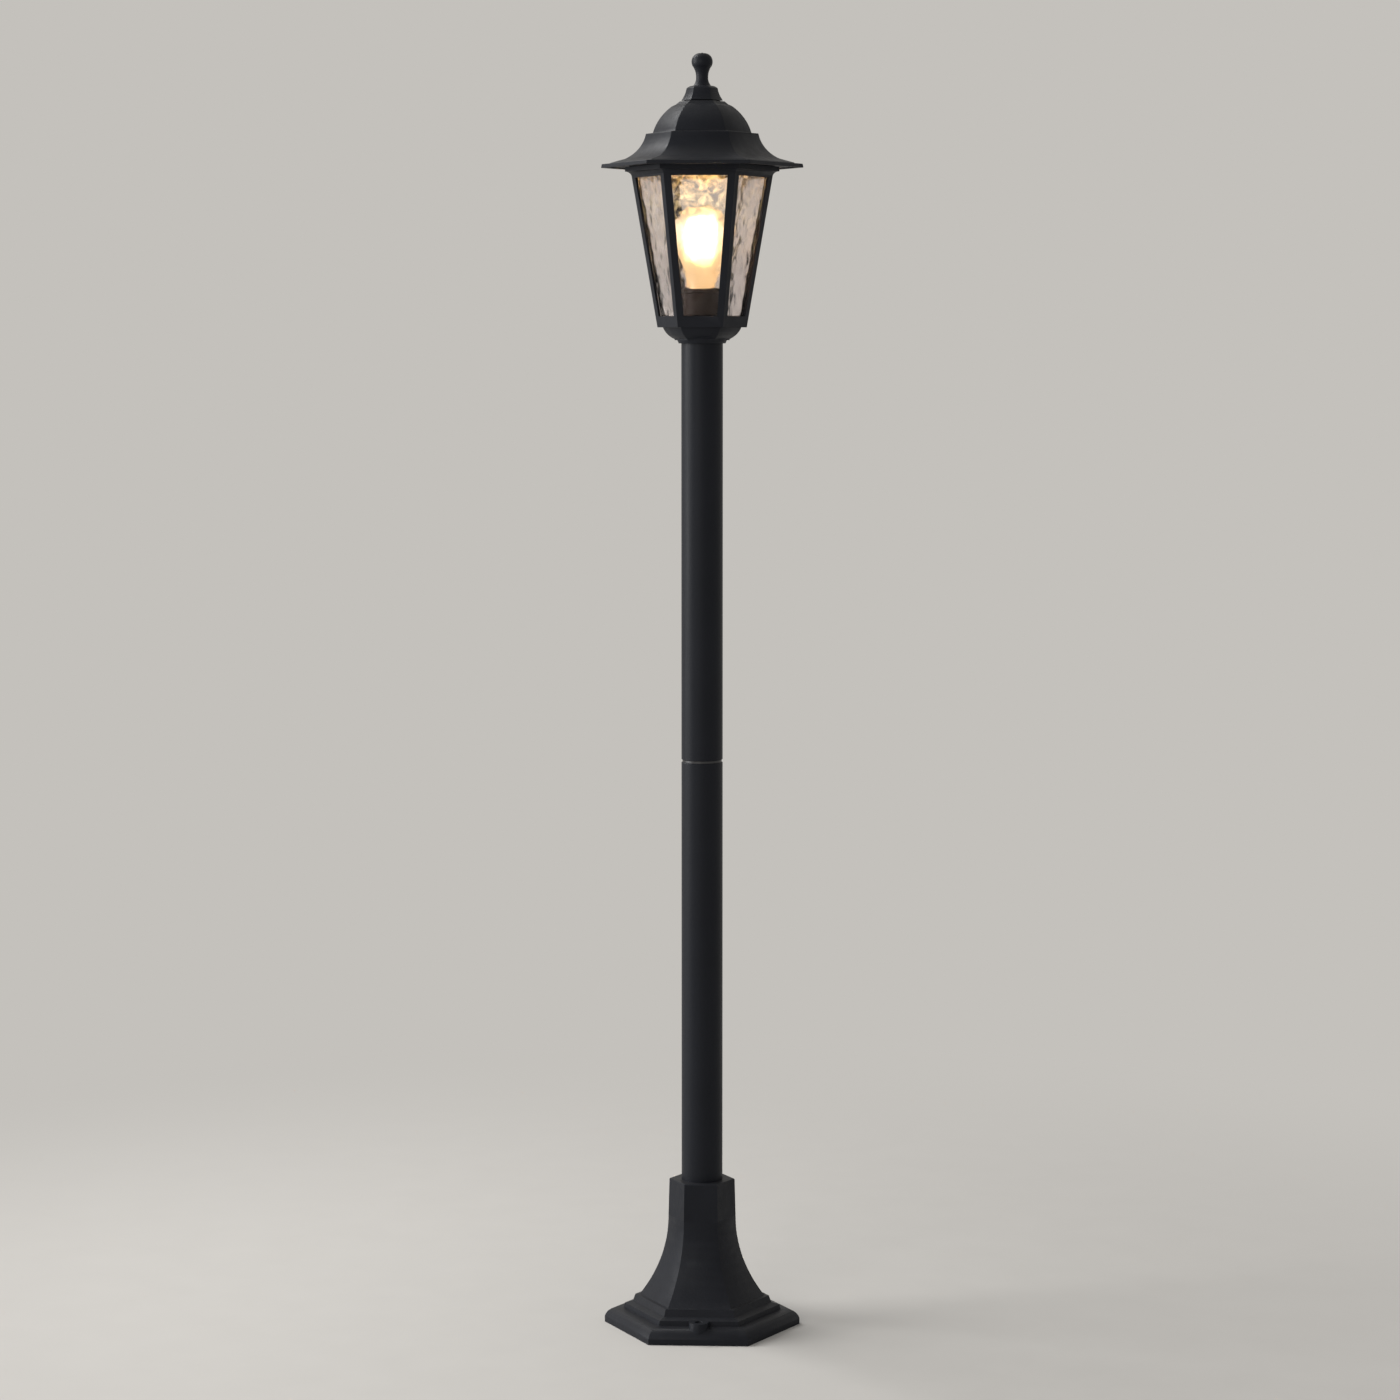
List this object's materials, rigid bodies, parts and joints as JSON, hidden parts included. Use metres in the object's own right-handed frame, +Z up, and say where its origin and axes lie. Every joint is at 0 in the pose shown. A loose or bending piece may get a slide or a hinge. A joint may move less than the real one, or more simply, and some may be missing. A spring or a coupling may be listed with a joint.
{
  "type": "outdoor lamp post",
  "caption": "Hexagonal lantern with rippled glass panes, lift-off ogee roof and finial, on a round tubular post with a stepped, flared hexagonal base for ground screws.",
  "frame": {"origin": "middle of the base's underside, on the post's axis", "axes": "+Z up the post; -Y is the front, where a flat side of the base and lantern faces; corners of the hexagons point along +X and -X"},
  "size_m": [0.1938, 0.1678, 1.2353],
  "materials": {
    "black_powder_coat": "satin",
    "joint_alloy": "satin",
    "zinc_steel": "satin",
    "brass": "satin",
    "dark_phenolic": "satin",
    "pale_nylon": "matte",
    "rippled_glass": "gloss",
    "lit_bulb_glass": "gloss"
  },
  "bodies": {
    "lamp": {"base": "black_powder_coat", "lower_post_tube": "black_powder_coat", "upper_post_tube": "black_powder_coat", "lantern_cup": "black_powder_coat", "lantern_cage": "black_powder_coat", "post_coupling": "joint_alloy", "lower_tube_plug": "joint_alloy", "upper_tube_plug": "joint_alloy", "lower_stem": "zinc_steel", "lower_stem_washer": "zinc_steel", "lower_stem_nut": "zinc_steel", "upper_stem": "zinc_steel", "upper_stem_washer": "zinc_steel", "upper_stem_nut": "zinc_steel", "cage_screws": "zinc_steel", "terminal_block_screw": "zinc_steel", "holder_screw_shell": "brass", "holder_contact": "brass", "terminal_clamp_screws": "brass", "earth_washer": "brass", "earth_screw": "brass", "lamp_holder": "dark_phenolic", "terminal_block": "pale_nylon", "pane_front": "rippled_glass", "pane_front_right": "rippled_glass", "pane_back_right": "rippled_glass", "pane_back": "rippled_glass", "pane_back_left": "rippled_glass", "pane_front_left": "rippled_glass", "bulb": "lit_bulb_glass"},
    "roof": {"roof": "black_powder_coat", "roof_clips": "zinc_steel", "finial": "black_powder_coat", "finial_washer": "zinc_steel", "finial_screw": "zinc_steel"}
  },
  "joints": [
    {"name": "roof_lift", "type": "slide", "parent": "lamp", "child": "roof", "axis": [0, 0, 1], "range_m": [0, 0.15]}
  ]
}
